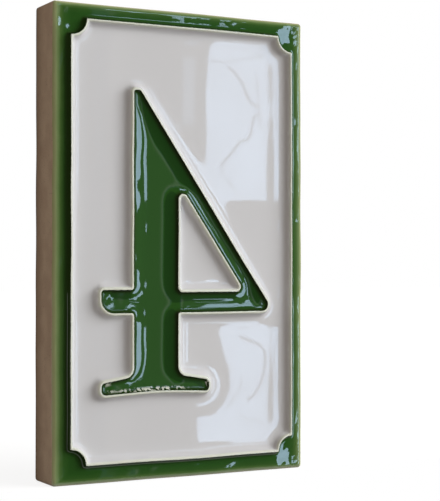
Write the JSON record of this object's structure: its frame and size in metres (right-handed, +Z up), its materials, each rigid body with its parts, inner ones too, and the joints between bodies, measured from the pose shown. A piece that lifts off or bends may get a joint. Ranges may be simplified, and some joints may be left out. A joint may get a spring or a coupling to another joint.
{
  "type": "house number plaque",
  "caption": "Upright rectangular ceramic wall plaque with raised ridges that part a green border, a cream field with notched corners and a bold serif numeral in mirror image.",
  "frame": {"origin": "centre of the flat back, on the wall plane", "axes": "+Z up the numeral, +Y into the wall, so the glazed face looks along -Y, +X to the right seen from the front"},
  "size_m": [0.09, 0.0169, 0.15],
  "materials": {
    "glazed_tile": "glossy cream glaze in the field and on the ridges, glossy green glaze in the border and the numeral, bare buff clay on the sides and the back"
  },
  "bodies": {
    "root": {"house_number_tile": "glazed_tile"}
  },
  "joints": []
}
